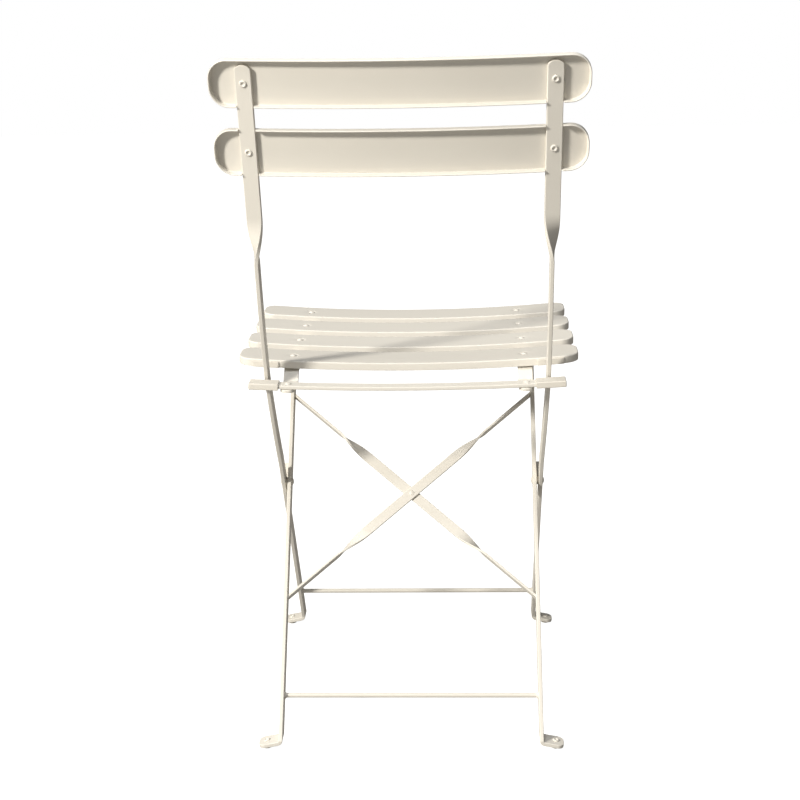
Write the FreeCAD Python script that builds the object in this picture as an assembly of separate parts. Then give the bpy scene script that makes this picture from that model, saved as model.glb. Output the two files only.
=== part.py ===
import FreeCAD, Part
import math
import os
from FreeCAD import Vector

os.makedirs("parts", exist_ok=True)

# Folding bistro chair, in millimetres. The chair's front faces -Y and its width runs along X.
# "Forward" is measured from the rear leg line at the floor towards the front edge of the seat.

# Slats: pressed sheet trays, a little narrower on the back than on the seat
slatLength = 414.0
slatWidth = 56.0
backSlatWidth = 53.0
seatSlatPitch = 80.0
backSlatPitch = 78.0
slatDepth = 9.5
slatWall = 1.5
seatCornerRadius = 17.0
backCornerRadius = 22.0
slatEdgeRadius = 1.6
seatDish = 9.0
backDish = 13.0
seatSlatCount = 4
backSlatCount = 2

# Flat bar of the legs and uprights
barWidth = 18.0
barThickness = 5.0

# Frame layout
chairHeight = 818.5
seatLowPoint = 449.4
pivotForward = 200.0
pivotHeight = 272.6
rearLegLean = 37.3
frontLegLean = 31.9
uprightLean = 13.3
bendHeight = 433.0
bendRadius = 740.0
bendToTwist = 4.0
pivotGap = 2.5
uprightSpread = 3.6
spreadRise = 36.0
twistDrop = 80.7
twistLength = 50.0
twistSteps = 8
uprightEndBelowEdge = 6.3
uprightCrown = 4.5
uprightShoulder = 2.0

# Insets from the slats' ends to the centre lines of what stands under them or behind them
rearFrameInset = 49.0
uprightInset = 39.0
seatRailInset = 65.0
rearRailInset = 20.2

# Feet: each bar is bent outwards into a sloping tab that carries a glide
tabSlope = 11.0
tabReach = 26.7
tabCornerRadius = 8.0
footBendRadius = 2.0
glideOffset = 17.5
glideRadius = 6.0
glideShow = 3.5
glideChamfer = 0.8

# Rods between the legs
rodRadius = 3.0
rearRodHeight = 53.0
frontRodHeight = 62.0

# Crossed brace of the rear leg frame
braceTopDrop = 49.0
braceBottomHeight = 150.5
braceWidth = 13.0
braceThickness = 3.0
braceHeadRadius = 3.6
braceHeadHeight = 0.8
braceEdgeOn = 85.0
braceTwist = 44.0

# Seat frame
seatRailWidth = 18.0
seatRailThickness = 4.0
railFrontInset = 10.0
railDropStart = 6.0
railDropRun = 15.0
railEndFlat = 0.5
seatHingeDrop = 23.5
spacerRadius = 5.0
earThickness = 3.0
earWidth = 18.0
earToLegGap = 1.3
earSlat = 2
rearRailDrop = 18.9
rearRailWidth = 18.0
rearRailThickness = 4.5
rearRailDish = 5.0
railToeReach = 1.0
sleeveWall = 1.7
sleeveLength = 35.3
padLength = 32.0
padEndGap = 1.0
padWall = 2.0
padStep = 0.4
padEdgeRadius = 0.6
padPegRadius = 1.6
padPegInset = 8.0
padPegShow = 1.5

# Opening stops on the rear legs
stopLength = 22.0
stopDepth = 3.5
stopInset = 0.5

# Rivets
rivetRadius = 2.5
rivetHeadRadius = 4.2
rivetHeadHeight = 1.8
pivotRadius = 3.5
pivotHeadRadius = 5.6
pivotHeadHeight = 2.2
washerRadius = 5.5

# Clearances
holeClearance = 0.05
bearingClearance = 0.05
faceGap = 0.15
stopGap = 0.3
sleeveGap = 2.6
padGap = 8.0
sleeveFit = 0.05
notchGap = 0.4
railClearance = 0.05

# Worked-out places
halfBar = barWidth / 2
slatHalf = slatLength / 2
rearFrameHalf = slatHalf - rearFrameInset
uprightHalf = slatHalf - uprightInset
seatRailHalf = slatHalf - seatRailInset
rearRailHalf = slatHalf - rearRailInset
frontFrameHalf = rearFrameHalf + barThickness + pivotGap
rearInner = rearFrameHalf - barThickness / 2
rearOuter = rearFrameHalf + barThickness / 2
frontInner = frontFrameHalf - barThickness / 2
frontOuter = frontFrameHalf + barThickness / 2
seatRadius = (slatHalf ** 2 + seatDish ** 2) / (2 * seatDish)
backRadius = (slatHalf ** 2 + backDish ** 2) / (2 * backDish)
railRadius = (rearRailHalf ** 2 + rearRailDish ** 2) / (2 * rearRailDish)
past = 2 * slatDepth
tiny = 0.01


def side(x, forward, height):
    return Vector(x, -forward, height)


def leaning(degrees):
    # Unit vector up a bar whose top leans to the front by this angle
    a = math.radians(degrees)
    return side(0, math.sin(a), math.cos(a))


def squareTo(along):
    # Unit vector square to a bar in the side plane, on its front side
    return Vector(0, -along.z, along.y)


def dishHeight(radius, x):
    return radius - math.sqrt(radius * radius - x * x)


def railTop():
    # The seat rails lie flat under the slats' flanges
    inner = seatRailHalf - seatRailWidth / 2
    return seatLowPoint + dishHeight(seatRadius + slatDepth, inner) - slatDepth - railClearance


pivot = side(0, pivotForward, pivotHeight)
rearUp = leaning(rearLegLean)
rearFront = squareTo(rearUp)
frontUp = leaning(-frontLegLean)
frontFront = squareTo(frontUp)
topUp = leaning(-uprightLean)
topFront = squareTo(topUp)
bend = pivot + frontUp * ((bendHeight - pivotHeight) / frontUp.z)
bendAngle = math.radians(frontLegLean - uprightLean)
seatHingeHeight = railTop() - seatRailThickness - seatHingeDrop
braceTopHeight = seatHingeHeight - braceTopDrop
seatHinge = pivot + rearUp * ((seatHingeHeight - pivotHeight) / rearUp.z)


def placed(shape, origin, ex, ey, ez):
    matrix = FreeCAD.Matrix(
        ex.x, ey.x, ez.x, origin.x,
        ex.y, ey.y, ez.y, origin.y,
        ex.z, ey.z, ez.z, origin.z,
        0, 0, 0, 1)
    copy = shape.copy()
    copy.Placement = FreeCAD.Placement(matrix)
    return copy


def mirrored(shape):
    return shape.mirror(Vector(0, 0, 0), Vector(1, 0, 0))


def polygonFace(points):
    return Part.Face(Part.makePolygon(points + [points[0]]))


def arcThrough(a, b, c):
    return Part.Arc(a, b, c).toShape()


def line(a, b):
    return Part.makeLine(a, b)


def boxBetween(low, high):
    size = high - low
    return Part.makeBox(size.x, size.y, size.z, low)


def roundedPlate(length, width, thickness, radius):
    # A plate centred on the origin in X and Y, standing on z = 0, with rounded corners
    plate = Part.makeBox(length, width, thickness, Vector(-length / 2, -width / 2, 0))
    corners = [e for e in plate.Edges if abs(e.Vertexes[0].Z - e.Vertexes[-1].Z) > thickness / 2]
    return plate.makeFillet(radius, corners)


def crownedPlate(length, width, thickness, crown, shoulder):
    # A plate along X from the origin, whose far end is a shallow arc with rounded shoulders
    half = width / 2
    straight = length - crown
    edges = [
        line(Vector(0, -half, 0), Vector(straight, -half, 0)),
        arcThrough(Vector(straight, -half, 0), Vector(length, 0, 0), Vector(straight, half, 0)),
        line(Vector(straight, half, 0), Vector(0, half, 0)),
        line(Vector(0, half, 0), Vector(0, -half, 0))]
    plate = Part.Face(Part.Wire(edges)).extrude(Vector(0, 0, thickness))
    corners = [e for e in plate.Edges if isUpright(e) and e.BoundBox.XMin > straight - tiny]
    return plate.makeFillet(shoulder, corners)


def rivet(foot, axis, grip, radius, headRadius, headHeight):
    # A shank along axis from foot, with a domed head at both ends of the grip
    shank = Part.makeCylinder(radius, grip, foot, axis)
    sphereRadius = (headRadius ** 2 + headHeight ** 2) / (2 * headHeight)
    result = shank
    for end, out in ((foot + axis * grip, axis), (foot, axis * -1)):
        ball = Part.makeSphere(sphereRadius, end + out * (headHeight - sphereRadius))
        reach = 2 * sphereRadius
        keep = Part.makeCylinder(headRadius, reach, end, out)
        result = result.fuse(ball.common(keep))
    return result.removeSplitter()


def bore(point, axis, radius, reach):
    return Part.makeCylinder(radius, 2 * reach, point - axis * reach, axis)


# Dished slabs: everything on the seat and on the back follows one arc per dish

def dishSlab(radius, topDepth, bottomDepth, x0, x1, y0, y1):
    # The layer between two depths below the dish, from x0 to x1 and y0 to y1
    def arcPoint(x, r):
        return Vector(x, y0, radius - math.sqrt(r * r - x * x))
    inner = radius + topDepth
    outer = radius + bottomDepth
    middle = (x0 + x1) / 2
    edges = [
        arcThrough(arcPoint(x0, inner), arcPoint(middle, inner), arcPoint(x1, inner)),
        line(arcPoint(x1, inner), arcPoint(x1, outer)),
        arcThrough(arcPoint(x1, outer), arcPoint(middle, outer), arcPoint(x0, outer)),
        line(arcPoint(x0, outer), arcPoint(x0, inner))]
    return Part.Face(Part.Wire(edges)).extrude(Vector(0, y1 - y0, 0))


def slatTray(radius, width, corner):
    # A sheet tray with its open side down: web on the dish, flange all round
    reach = slatHalf + slatWall
    block = roundedPlate(slatLength, width, 2 * past, corner)
    block.translate(Vector(0, 0, -past))
    layer = dishSlab(radius, 0, slatDepth, -reach, reach, -slatWidth, slatWidth)
    outer = block.common(layer)
    rim = [e for e in outer.Edges if onDish(e, radius)]
    outer = outer.makeFillet(slatEdgeRadius, rim)
    room = roundedPlate(slatLength - 2 * slatWall, width - 2 * slatWall, 2 * past, corner - slatWall)
    room.translate(Vector(0, 0, -past))
    below = dishSlab(radius, slatWall, past, -reach, reach, -slatWidth, slatWidth)
    return outer.cut(room.common(below)).removeSplitter()


def onDish(edge, radius):
    # True for an edge that lies wholly on the upper surface of the dish
    for i in range(3):
        p = edge.valueAt(edge.FirstParameter + (edge.LastParameter - edge.FirstParameter) * i / 2)
        if abs(dishHeight(radius, p.x) - p.z) > tiny:
            return False
    return True


# The front leg frame: front legs and uprights are one bar each

def frontLegBlank():
    # Leg, bend and upright up to the twist, cut from one strip in the side plane
    toeLevel = footTop()
    toe = pivot - frontUp * ((pivotHeight - toeLevel + barWidth) / frontUp.z)
    reach = bendReach()
    radius = bendArc()
    centre = bend + bisector() * (radius / math.cos(bendAngle / 2))
    rows = []
    for offset in (-halfBar, halfBar):
        low = toe + frontFront * offset
        start = bend - frontUp * reach + frontFront * offset
        finish = bend + topUp * reach + topFront * offset
        crown = centre - bisector() * (radius - offset)
        high = bend + topUp * twistStart() + topFront * offset
        rows.append((low, start, crown, finish, high))
    rear, front = rows
    edges = [
        line(rear[0], rear[1]),
        arcThrough(rear[1], rear[2], rear[3]),
        line(rear[3], rear[4]),
        line(rear[4], front[4]),
        line(front[4], front[3]),
        arcThrough(front[3], front[2], front[1]),
        line(front[1], front[0]),
        line(front[0], rear[0])]
    strip = Part.Face(Part.Wire(edges)).extrude(Vector(barThickness + uprightSpread, 0, 0))
    strip.translate(Vector(frontInner, 0, 0))
    return strip.common(spreadBand()).cut(belowFoot())


def spreadBand():
    # The bar seen from the front: upright at the leg, leaning outwards above the pivot up to the bend
    start = pivotHeight + spreadRise
    far = 2 * chairHeight
    inner = frontInner + uprightSpread
    outer = frontOuter + uprightSpread
    outline = [(frontInner, 0), (frontOuter, 0), (frontOuter, start), (outer, bendHeight),
               (outer, chairHeight), (inner, chairHeight), (inner, bendHeight), (frontInner, start)]
    return polygonFace([Vector(x, -far, z) for x, z in outline]).extrude(Vector(0, 2 * far, 0))


def bendReach():
    # Straight bar that the bend takes up on each side, as far as there is room below the twist
    return min(bendRadius * math.tan(bendAngle / 2), twistStart() - bendToTwist)


def bendArc():
    return bendReach() / math.tan(bendAngle / 2)


def bisector():
    # Unit vector from the bend's corner towards the inside of the bend
    return (topUp - frontUp).normalize()


def footTop():
    # Height at which each leg's bar starts to turn outwards
    turn = footBendRadius + barThickness
    run = glideOffset - barThickness / 2 - footBendRadius + turn * math.sin(math.radians(tabSlope))
    return glideShow + turn * math.cos(math.radians(tabSlope)) + run * math.tan(math.radians(tabSlope))


def belowFoot():
    return boxBetween(Vector(-slatLength, -2 * slatLength, -slatLength),
                      Vector(slatLength, slatLength, footTop()))


def foot(x, up):
    # The bend and the tab at the lower end of a bar that leans along up
    level = footTop()
    centre = pivot - up * ((pivotHeight - level) / up.z)
    width = barWidth / abs(up.z)
    y0 = centre.y - width / 2
    section = polygonFace([
        Vector(x - barThickness / 2, y0, level),
        Vector(x + barThickness / 2, y0, level),
        Vector(x + barThickness / 2, y0 + width, level),
        Vector(x - barThickness / 2, y0 + width, level)])
    axisPoint = Vector(x + barThickness / 2 + footBendRadius, 0, level)
    turned = section.revolve(axisPoint, Vector(0, 1, 0), -(90 - tabSlope))
    slope = math.radians(tabSlope)
    out = Vector(math.cos(slope), 0, -math.sin(slope))
    normal = Vector(math.sin(slope), 0, math.cos(slope))
    start = axisPoint - normal * (footBendRadius + barThickness)
    start.y = centre.y
    length = (x + tabReach - start.x) / out.x
    plate = roundedPlate(2 * length, width, barThickness, tabCornerRadius)
    half = boxBetween(Vector(0, -width, -barThickness), Vector(2 * length, width, 2 * barThickness))
    tab = placed(plate.common(half), start, out, Vector(0, 1, 0), normal)
    return turned.fuse(tab)


def glidePoint(x, up):
    centre = pivot - up * ((pivotHeight - footTop()) / up.z)
    return Vector(x + glideOffset, centre.y, 0)


def twistedBar(sections, width, thickness):
    # A ruled loft through rectangles; each section gives its centre, across and through vectors
    wires = []
    for centre, across, through in sections:
        a = across * (width / 2)
        t = through * (thickness / 2)
        wires.append(Part.makePolygon([centre + a + t, centre - a + t, centre - a - t,
                                       centre + a - t, centre + a + t]))
    return Part.makeLoft(wires, True, True)


def uprightTurn():
    # The flat part of the upright follows the slope of the dished back slats
    return math.asin(uprightHalf / backRadius)


def upperSlatPoint(index):
    # Centre of a back slat's rivet row on the uprights' centre line, 0 is the upper slat
    edge = bend + topUp * ((chairHeight - bendHeight) / topUp.z)
    return edge - topUp * (backSlatWidth / 2 + index * backSlatPitch)


def twistStart():
    # The twist ends a set length below the lower back slat's rivets
    lowest = upperSlatPoint(backSlatCount - 1) - bend
    return lowest.dot(topUp) - twistDrop - twistLength


def frontLeg():
    lower = frontLegBlank()
    wide = frontFrameHalf + uprightSpread
    sections = []
    for i in range(twistSteps + 1):
        share = i / twistSteps
        angle = share * (math.pi / 2 - uprightTurn())
        shift = wide + (uprightHalf - wide) * share
        centre = bend + topUp * (twistStart() + twistLength * share) + Vector(shift, 0, 0)
        across = topFront * math.cos(angle) + Vector(1, 0, 0) * math.sin(angle)
        through = Vector(1, 0, 0) * math.cos(angle) - topFront * math.sin(angle)
        sections.append((centre, across, through))
    twist = twistedBar(sections, barWidth, barThickness)
    centre, across, through = sections[-1]
    top = upperSlatPoint(0) + topUp * (backSlatWidth / 2 - uprightEndBelowEdge)
    length = (top - bend).dot(topUp) - twistStart() - twistLength
    plate = crownedPlate(length, barWidth, barThickness, uprightCrown, uprightShoulder)
    flat = placed(plate, centre - through * (barThickness / 2), topUp, across, through)
    bar = lower.fuse([twist, flat, foot(frontFrameHalf, frontUp)])
    for index in range(backSlatCount):
        bar = bar.cut(slatBore(index))
    bar = bar.cut(bore(pivot + Vector(frontFrameHalf, 0, 0), Vector(1, 0, 0),
                       pivotRadius + holeClearance, barThickness))
    bar = bar.cut(glideBore(frontFrameHalf, frontUp))
    return bar.removeSplitter()


def glideBore(x, up):
    reach = 2 * (glideShow + barThickness)
    return bore(glidePoint(x, up), Vector(0, 0, 1), rivetRadius + holeClearance, reach)


def backAxes():
    # Local axes of a back slat: its length, its width down the back, and its face towards the sitter
    return Vector(1, 0, 0), topUp, topFront


def backOffset():
    # How far a back slat's lowest point of the dish lies in front of the uprights' centre line
    webAtUpright = dishHeight(backRadius + slatWall, uprightHalf) - slatWall
    return barThickness / 2 / math.cos(uprightTurn()) - webAtUpright


def slatBore(index):
    row = upperSlatPoint(index) + Vector(uprightHalf, 0, 0)
    turn = uprightTurn()
    axis = topFront * math.cos(turn) - Vector(1, 0, 0) * math.sin(turn)
    return bore(row, axis, rivetRadius + holeClearance, barWidth)


def backSlat(index):
    tray = slatTray(backRadius, backSlatWidth, backCornerRadius)
    width = barWidth + 2 * notchGap
    for sign in (-1, 1):
        # The flange is cut away where an upright passes; the top one keeps its upper flange
        high = slatWidth if index > 0 else 0
        notch = boxBetween(Vector(sign * uprightHalf - width / 2, -slatWidth, -past),
                           Vector(sign * uprightHalf + width / 2, high, past))
        layer = dishSlab(backRadius, slatWall, past, -slatLength, slatLength, -slatWidth, slatWidth)
        tray = tray.cut(notch.common(layer))
    ex, ey, ez = backAxes()
    origin = upperSlatPoint(index) + ez * backOffset()
    tray = placed(tray, origin, ex, ey, ez)
    hole = slatBore(index)
    return tray.cut(hole).cut(mirrored(hole)).removeSplitter()


def backRivets():
    pieces = []
    turn = uprightTurn()
    axis = topFront * math.cos(turn) - Vector(1, 0, 0) * math.sin(turn)
    for index in range(backSlatCount):
        row = upperSlatPoint(index) + Vector(uprightHalf, 0, 0)
        start = row - axis * (barThickness / 2)
        piece = rivet(start, axis, barThickness + slatWall, rivetRadius, rivetHeadRadius,
                      rivetHeadHeight)
        pieces.append(piece)
        pieces.append(mirrored(piece))
    return Part.makeCompound(pieces)


def stretcher(half, up, height):
    centre = pivot + up * ((height - pivotHeight) / up.z)
    return Part.makeCylinder(rodRadius, 2 * half, centre - Vector(half, 0, 0), Vector(1, 0, 0))


def glides(x, up):
    pieces = []
    point = glidePoint(x, up)
    body = Part.makeCylinder(glideRadius, glideShow * 3, point, Vector(0, 0, 1))
    body = body.makeChamfer(glideChamfer, [e for e in body.Edges if e.BoundBox.ZMax < glideChamfer])
    body = body.cut(aboveTab(point + Vector(0, 0, glideShow)))
    hole = Part.makeCylinder(rivetRadius + holeClearance, glideShow * 3,
                             point + Vector(0, 0, glideShow / 2), Vector(0, 0, 1))
    body = body.cut(hole)
    pieces.append(body)
    pieces.append(mirrored(body))
    return Part.makeCompound(pieces)


def aboveTab(point):
    # Everything above the sloping plane of a foot's tab through this point
    slope = math.radians(tabSlope)
    out = Vector(math.cos(slope), 0, -math.sin(slope))
    normal = Vector(math.sin(slope), 0, math.cos(slope))
    block = boxBetween(Vector(-slatWidth, -slatWidth, 0), Vector(slatWidth, slatWidth, slatWidth))
    return placed(block, point, out, Vector(0, 1, 0), normal)


def glideRivets(x, up):
    pieces = []
    point = glidePoint(x, up)
    topOfTab = glideShow + barThickness / math.cos(math.radians(tabSlope))
    low = glideShow / 2
    shank = Part.makeCylinder(rivetRadius, topOfTab - low, point + Vector(0, 0, low))
    sphereRadius = (rivetHeadRadius ** 2 + rivetHeadHeight ** 2) / (2 * rivetHeadHeight)
    centre = point + Vector(0, 0, topOfTab + rivetHeadHeight - sphereRadius)
    ball = Part.makeSphere(sphereRadius, centre)
    keep = Part.makeCylinder(rivetHeadRadius, 2 * sphereRadius, point + Vector(0, 0, low))
    keep = keep.common(aboveTab(point + Vector(0, 0, topOfTab)))
    piece = shank.fuse(ball.common(keep)).removeSplitter()
    pieces.append(piece)
    pieces.append(mirrored(piece))
    return Part.makeCompound(pieces)


# The rear leg frame

def rearLeg():
    level = footTop()
    length = (seatHinge - pivot).dot(rearUp)
    reach = (pivotHeight - level + barWidth) / rearUp.z
    low = pivot - rearUp * reach
    high = pivot + rearUp * length
    corners = [low - rearFront * halfBar, low + rearFront * halfBar,
               high + rearFront * halfBar, high - rearFront * halfBar]
    outline = polygonFace([c + Vector(rearInner, 0, 0) for c in corners])
    strip = outline.extrude(Vector(barThickness, 0, 0))
    end = Part.makeCylinder(halfBar, barThickness, seatHinge + Vector(rearInner, 0, 0), Vector(1, 0, 0))
    bar = strip.fuse(end).cut(belowFoot()).fuse(foot(rearFrameHalf, rearUp))
    for point, radius in ((pivot, pivotRadius), (seatHinge, pivotRadius)):
        bar = bar.cut(bore(point + Vector(rearFrameHalf, 0, 0), Vector(1, 0, 0),
                           radius + bearingClearance, barThickness))
    bar = bar.cut(glideBore(rearFrameHalf, rearUp))
    return bar.removeSplitter()


def openingStop():
    # A small block on the rear leg's front edge; the front leg comes to rest on its lower end
    spread = math.radians(rearLegLean + frontLegLean)
    start = (halfBar + stopGap - halfBar * math.cos(spread)) / math.sin(spread)
    block = boxBetween(Vector(rearInner + stopInset, 0, 0),
                       Vector(frontOuter - stopInset, stopDepth, stopLength))
    origin = pivot + rearUp * start + rearFront * (halfBar + stopDepth)
    return placed(block, origin, Vector(1, 0, 0), rearFront * -1, rearUp)


def pivotRivets():
    grip = 2 * barThickness + pivotGap + faceGap
    start = pivot + Vector(rearInner - faceGap, 0, 0)
    piece = rivet(start, Vector(1, 0, 0), grip, pivotRadius, pivotHeadRadius, pivotHeadHeight)
    return Part.makeCompound([piece, mirrored(piece)])


def ring(point, outer, inner, thickness):
    disc = Part.makeCylinder(outer, thickness, point, Vector(1, 0, 0))
    return disc.cut(Part.makeCylinder(inner, thickness, point, Vector(1, 0, 0)))


def pivotSpacers():
    piece = ring(pivot + Vector(rearOuter + faceGap, 0, 0), washerRadius,
                 pivotRadius + holeClearance, pivotGap - faceGap)
    return Part.makeCompound([piece, mirrored(piece)])


def braceBar(sign, lift):
    # One bar of the cross, from the upper end at sign * rearInner to the lower end on the other side
    normal = rearFront * -1
    out = Vector(sign * rearInner, 0, 0)
    top = pivot + rearUp * ((braceTopHeight - pivotHeight) / rearUp.z) + out
    bottom = pivot + rearUp * ((braceBottomHeight - pivotHeight) / rearUp.z) - out
    along = (bottom - top).normalize()
    flat = normal.cross(along) * -sign
    length = (bottom - top).Length
    stations = []
    for i in range(twistSteps + 1):
        share = i / twistSteps
        stations.append((braceEdgeOn + braceTwist * share, share))
    for i in range(twistSteps + 1):
        share = 1 - i / twistSteps
        stations.append((length - braceEdgeOn - braceTwist * share, share))
    stations.sort()
    over = braceWidth / 2
    stations = [(-over, 0)] + stations + [(length + over, 0)]
    sections = []
    for distance, share in stations:
        angle = share * math.pi / 2
        across = normal * math.cos(angle) + flat * math.sin(angle)
        through = flat * math.cos(angle) - normal * math.sin(angle)
        centre = top + along * distance + normal * (lift * share * braceThickness / 2)
        sections.append((centre, across, through))
    bar = twistedBar(sections, braceWidth, braceThickness)
    between = boxBetween(Vector(-rearInner, -2 * slatLength, 0),
                         Vector(rearInner, slatLength, chairHeight))
    bar = bar.common(between)
    middle = (top + bottom) * 0.5
    return bar.cut(bore(middle, normal, rivetRadius + holeClearance, barWidth))


def braceRivet():
    normal = rearFront * -1
    height = (braceTopHeight + braceBottomHeight) / 2
    middle = pivot + rearUp * ((height - pivotHeight) / rearUp.z)
    return rivet(middle - normal * braceThickness, normal, 2 * braceThickness, rivetRadius,
                 braceHeadRadius, braceHeadHeight)


# The seat

def uprightFace(height, offset):
    # Forward place of the upright's face that lies offset in front of its centre line, at this height
    point = bend + topUp * ((height - bendHeight) / topUp.z)
    along = (point - bend).dot(topUp)
    centre = bend + bisector() * (bendArc() / math.cos(bendAngle / 2))
    radius = bendArc() - offset
    if along < bendReach():
        drop = height - centre.z
        return -centre.y - math.sqrt(radius * radius - drop * drop)
    return -point.y - offset / topFront.y


def flangeBottom():
    return seatLowPoint + dishHeight(seatRadius, uprightHalf) - slatDepth


def seatRear():
    # Forward place of the rear slat's rear edge: the pad on it stands just in front of the uprights
    return uprightFace(flangeBottom(), halfBar) + padGap + padWall


def sleeveFront():
    # Forward place of the sleeves' front face, just behind the uprights
    top = rearRailDrop - rearRailThickness / 2 - sleeveWall
    level = seatLowPoint + dishHeight(railRadius, uprightHalf) - top
    return uprightFace(level, -halfBar) - sleeveGap


def seatLevel(shape):
    shape.translate(Vector(0, 0, seatLowPoint))
    return shape


def slatCentre(index):
    return seatRear() + slatWidth / 2 + index * seatSlatPitch


def seatSlat(index):
    tray = slatTray(seatRadius, slatWidth, seatCornerRadius)
    tray.translate(side(0, slatCentre(index), seatLowPoint))
    for sign in (-1, 1):
        row = side(sign * seatRailHalf, slatCentre(index), seatRivetTop())
        tray = tray.cut(bore(row, Vector(0, 0, 1), rivetRadius + holeClearance, barWidth))
        tray = tray.cut(headSeat(row))
    if index == 0:
        holes = padPegs(padPegRadius + holeClearance)
        tray = tray.cut(holes).cut(mirrored(holes))
    return tray.removeSplitter()


def seatRivetTop():
    return seatLowPoint + dishHeight(seatRadius, seatRailHalf)


def railRivetTop():
    depth = rearRailDrop - rearRailThickness / 2
    return seatLowPoint + dishHeight(railRadius + depth, seatRailHalf) - depth


def headSeat(point):
    # The level spot that is pressed for a rivet's head
    return Part.makeCylinder(rivetHeadRadius + holeClearance, rivetHeadRadius, point, Vector(0, 0, 1))


def rearRailForward():
    return sleeveFront() - sleeveWall - rearRailWidth / 2


def footSeat():
    # Height of the top of the rail's foot, which carries the rear rail
    inner = seatRailHalf - seatRailWidth / 2
    depth = rearRailDrop + rearRailThickness / 2
    return seatLowPoint + dishHeight(railRadius + depth, inner) - depth


def seatRail():
    # A flat bar under the slats that drops behind the rear slat to a flat foot
    top = railTop()
    low = footSeat()
    t = seatRailThickness
    front = slatCentre(seatSlatCount - 1) + slatWidth / 2 - railFrontInset
    drop = seatRear() + railDropStart
    heel = drop - railDropRun
    toe = rearRailForward() - rearRailWidth / 2 - railToeReach
    slant = t * math.tan(math.atan2(top - low, railDropRun) / 2)
    x0 = seatRailHalf - seatRailWidth / 2
    outline = [side(x0, front, top), side(x0, drop, top), side(x0, heel, low), side(x0, toe, low),
               side(x0, toe, low - t), side(x0, heel + slant, low - t), side(x0, drop + slant, top - t),
               side(x0, front, top - t)]
    bar = polygonFace(outline).extrude(Vector(seatRailWidth, 0, 0))
    ends = []
    for e in bar.Edges:
        y = e.Vertexes[0].Y
        if isUpright(e) and (abs(y + front) < tiny or abs(y + toe) < tiny):
            ends.append(e)
    bar = bar.makeFillet(seatRailWidth / 2 - railEndFlat, ends)
    for index in range(seatSlatCount):
        bar = bar.cut(bore(side(seatRailHalf, slatCentre(index), top), Vector(0, 0, 1),
                           rivetRadius + holeClearance, barWidth / 2))
    return bar.cut(bore(side(seatRailHalf, rearRailForward(), low), Vector(0, 0, 1),
                        rivetRadius + holeClearance, barWidth / 2))


def isUpright(edge):
    box = edge.BoundBox
    return box.XLength < tiny and box.YLength < tiny


def hingeEar():
    # An angle under the rail: its upright leg hangs down to the rear leg's top pivot
    under = railTop() - seatRailThickness
    outer = rearInner - earToLegGap
    inner = outer - earThickness
    row = slatCentre(earSlat)
    flat = boxBetween(side(seatRailHalf - seatRailWidth / 2, row + earWidth / 2, under - earThickness),
                      side(outer, row - earWidth / 2, under))
    hinge = -seatHinge.y
    half = earWidth / 2
    leg = polygonFace([side(inner, row - half, under), side(inner, row + half, under),
                       side(inner, hinge + half, seatHingeHeight),
                       side(inner, hinge - half, seatHingeHeight)]).extrude(Vector(earThickness, 0, 0))
    end = Part.makeCylinder(half, earThickness, side(inner, hinge, seatHingeHeight), Vector(1, 0, 0))
    ear = flat.fuse([leg, end])
    ear = ear.cut(bore(side(seatRailHalf, row, under), Vector(0, 0, 1),
                       rivetRadius + holeClearance, barWidth))
    ear = ear.cut(bore(seatHinge + Vector(inner, 0, 0), Vector(1, 0, 0),
                       pivotRadius + holeClearance, barThickness))
    return ear.removeSplitter()


def hingePins():
    inner = rearInner - earToLegGap - earThickness
    grip = rearOuter + faceGap - inner
    piece = rivet(seatHinge + Vector(inner, 0, 0), Vector(1, 0, 0), grip, pivotRadius, pivotHeadRadius,
                  pivotHeadHeight)
    return Part.makeCompound([piece, mirrored(piece)])


def hingeWashers():
    piece = ring(seatHinge + Vector(rearInner - earToLegGap, 0, 0), washerRadius,
                 pivotRadius + holeClearance, earToLegGap - faceGap)
    return Part.makeCompound([piece, mirrored(piece)])


def seatRivets():
    pieces = []
    for index in range(seatSlatCount):
        low = railTop() - seatRailThickness
        if index == earSlat:
            low -= earThickness
        piece = rivet(side(seatRailHalf, slatCentre(index), low), Vector(0, 0, 1),
                      seatRivetTop() - low, rivetRadius, rivetHeadRadius, rivetHeadHeight)
        pieces.append(piece)
        pieces.append(mirrored(piece))
    return Part.makeCompound(pieces)


def slatSpacers():
    # Short tubes on the rivets, between the rails and the slats' webs
    pieces = []
    low = railTop()
    high = seatLowPoint + dishHeight(seatRadius + slatWall, seatRailHalf - spacerRadius) - slatWall
    for index in range(seatSlatCount):
        foot = side(seatRailHalf, slatCentre(index), low)
        tube = Part.makeCylinder(spacerRadius, high - low, foot)
        tube = tube.cut(Part.makeCylinder(rivetRadius + holeClearance, high - low, foot))
        pieces.append(tube)
        pieces.append(mirrored(tube))
    return Part.makeCompound(pieces)


def rearRail():
    back = -rearRailForward() + rearRailWidth / 2
    half = rearRailThickness / 2
    bar = dishSlab(railRadius, rearRailDrop - half, rearRailDrop + half,
                   -rearRailHalf, rearRailHalf, back - rearRailWidth, back)
    bar = seatLevel(bar)
    for sign in (-1, 1):
        row = side(sign * seatRailHalf, rearRailForward(), railRivetTop())
        bar = bar.cut(bore(row, Vector(0, 0, 1), rivetRadius + holeClearance, barWidth / 2))
        bar = bar.cut(headSeat(row))
    return bar


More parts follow.
